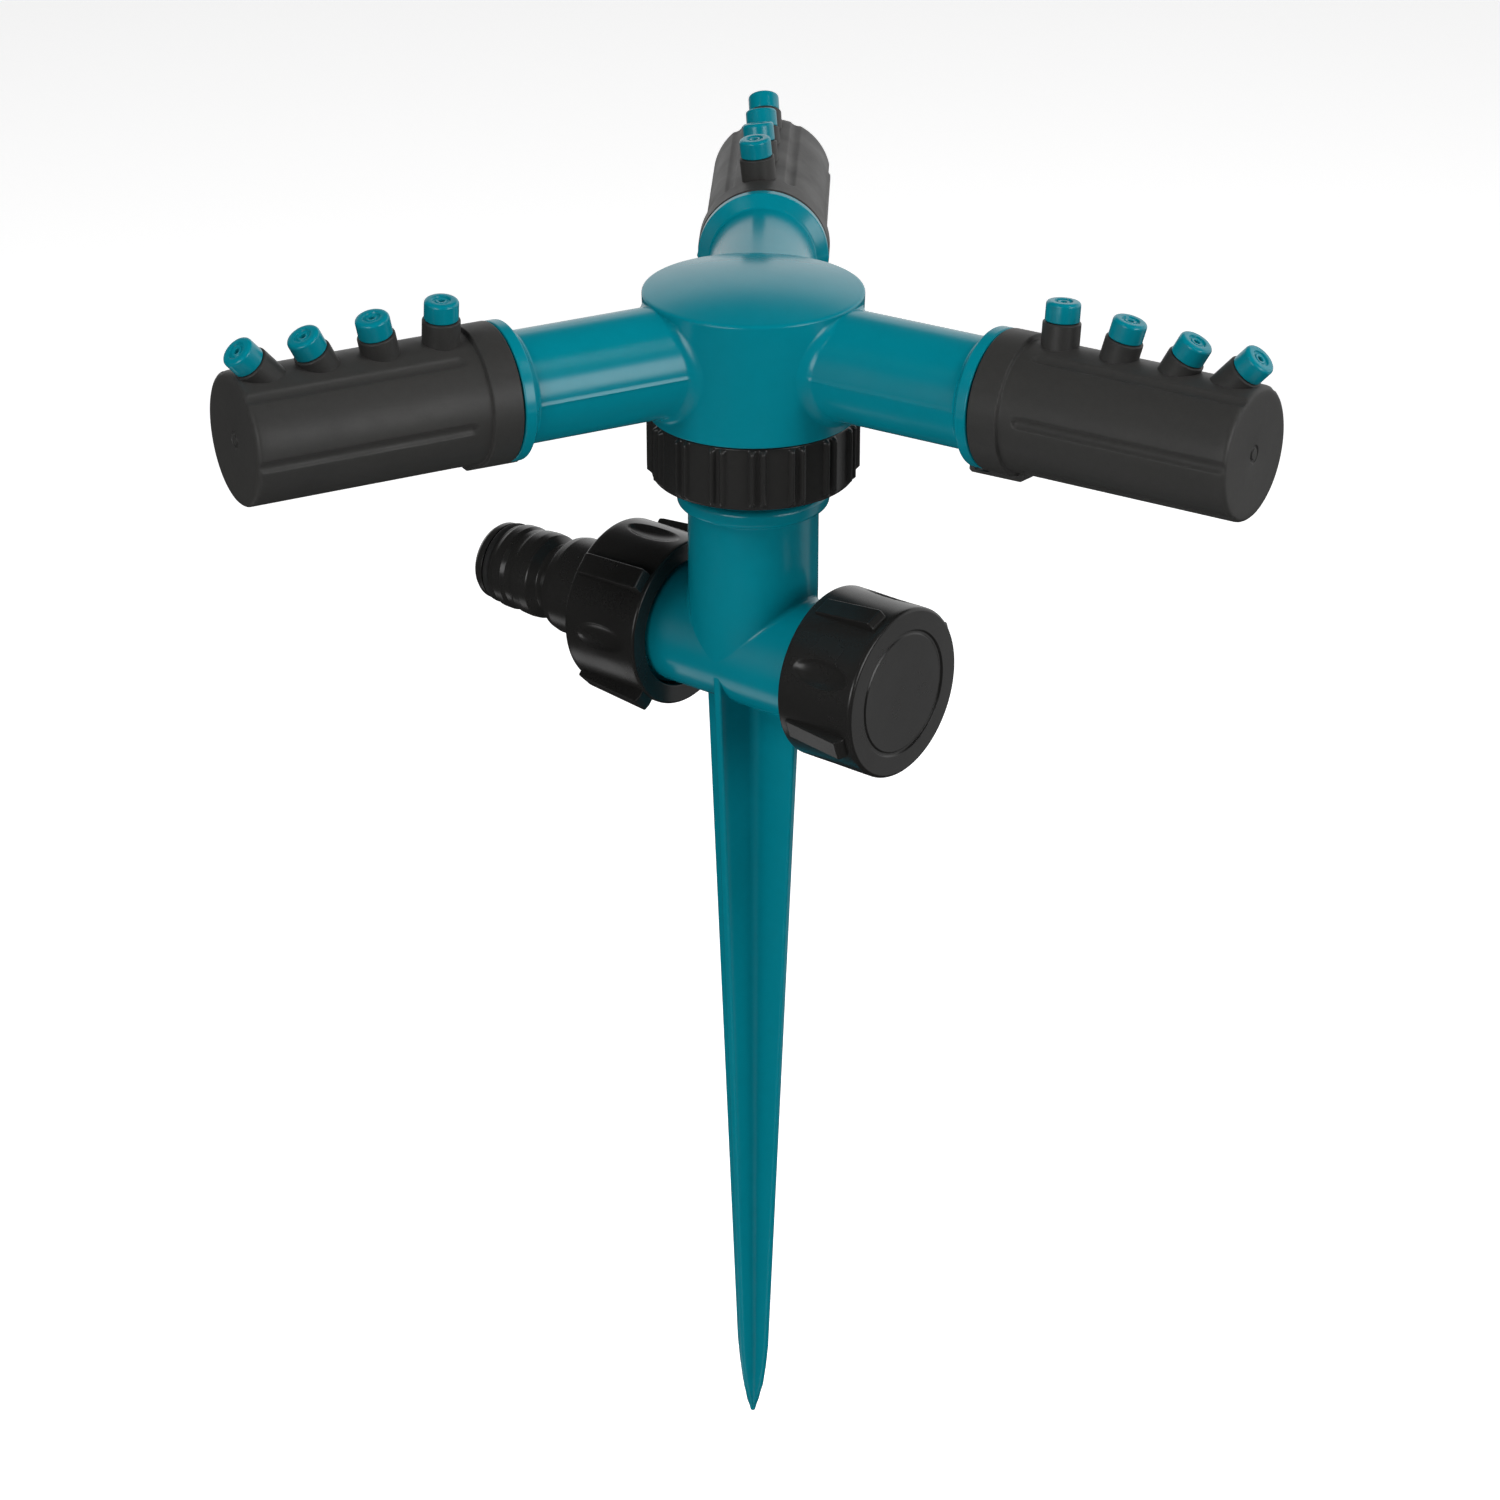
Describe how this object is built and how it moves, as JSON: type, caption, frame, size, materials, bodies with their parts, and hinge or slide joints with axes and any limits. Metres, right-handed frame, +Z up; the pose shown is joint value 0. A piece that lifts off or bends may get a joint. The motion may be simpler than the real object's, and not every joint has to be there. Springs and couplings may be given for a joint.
{
  "type": "rotary lawn sprinkler",
  "caption": "Rotary lawn sprinkler: teal hub with radial arms, black nozzle barrels that twist, a side hose nipple with union nut, an end cap and a finned ground spike.",
  "frame": {"origin": "on the rotor's vertical axis at soil level, where the spike enters the ground", "axes": "+Z up along the rotor's axis, -X along the hose pipe towards the hose inlet, +X towards the end cap"},
  "size_m": [0.1808, 0.1954, 0.2696],
  "materials": {
    "teal_plastic": "glossy moulded teal plastic",
    "black_plastic": "semi-gloss moulded black plastic",
    "charcoal_plastic": "fine-grained matte charcoal plastic",
    "white_acetal": "smooth natural bearing plastic",
    "black_rubber": "moulded seal rubber"
  },
  "bodies": {
    "base": {"base_body": "teal_plastic", "swivel_spindle": "white_acetal", "thrust_washer": "white_acetal"},
    "rotor": {"hub": "teal_plastic", "ring_nut": "black_plastic", "rotor_seal": "black_rubber", "arm_oring_a": "black_rubber", "arm_oring_b": "black_rubber", "arm_oring_c": "black_rubber"},
    "barrel_body_a": {"barrel_a": "charcoal_plastic", "nozzle_tip_a1": "teal_plastic", "nozzle_tip_a2": "teal_plastic", "nozzle_tip_a3": "teal_plastic", "nozzle_tip_a4": "teal_plastic"},
    "barrel_body_b": {"barrel_b": "charcoal_plastic", "nozzle_tip_b1": "teal_plastic", "nozzle_tip_b2": "teal_plastic", "nozzle_tip_b3": "teal_plastic", "nozzle_tip_b4": "teal_plastic"},
    "barrel_body_c": {"barrel_c": "charcoal_plastic", "nozzle_tip_c1": "teal_plastic", "nozzle_tip_c2": "teal_plastic", "nozzle_tip_c3": "teal_plastic", "nozzle_tip_c4": "teal_plastic"},
    "cap_seat": {"cap_gasket": "black_rubber"},
    "cap_shell": {"end_cap": "black_plastic"},
    "hose_tail": {"hose_nipple": "black_plastic", "nose_oring": "black_rubber", "hose_washer": "black_rubber"},
    "hose_nut": {"union_nut": "black_plastic"}
  },
  "joints": [
    {"name": "rotor_spin", "type": "hinge", "parent": "base", "child": "rotor", "pos_m": [0, 0, 0.0853], "axis": [0, 0, 1], "continuous": true},
    {"name": "barrel_a_twist", "type": "hinge", "parent": "rotor", "child": "barrel_body_a", "pos_m": [0.07947, 0.0092, 0.0853], "axis": [0.9934, 0.1149, 0], "continuous": true},
    {"name": "barrel_b_twist", "type": "hinge", "parent": "rotor", "child": "barrel_body_b", "pos_m": [-0.0477, 0.06423, 0.0853], "axis": [-0.5962, 0.8028, 0], "continuous": true},
    {"name": "barrel_c_twist", "type": "hinge", "parent": "rotor", "child": "barrel_body_c", "pos_m": [-0.03177, -0.07342, 0.0853], "axis": [-0.3971, -0.9178, 0], "continuous": true},
    {"name": "cap_travel", "type": "slide", "parent": "base", "child": "cap_seat", "axis": [1, 0, 0], "range_m": [0, 0.01101]},
    {"name": "cap_turn", "type": "hinge", "parent": "cap_seat", "child": "cap_shell", "pos_m": [0.03, 0, 0.022], "axis": [1, 0, 0], "range_deg": [0, 1800]},
    {"name": "hose_tail_travel", "type": "slide", "parent": "base", "child": "hose_tail", "axis": [-1, 0, 0], "range_m": [0, 0.01101]},
    {"name": "hose_nut_turn", "type": "hinge", "parent": "hose_tail", "child": "hose_nut", "pos_m": [-0.026, 0, 0.022], "axis": [-1, 0, 0], "range_deg": [0, 1800]}
  ],
  "couplings": [
    {"joint": "cap_travel", "follows": "cap_turn", "m_per_rad": 0.00035014},
    {"joint": "hose_tail_travel", "follows": "hose_nut_turn", "m_per_rad": 0.00035014}
  ]
}
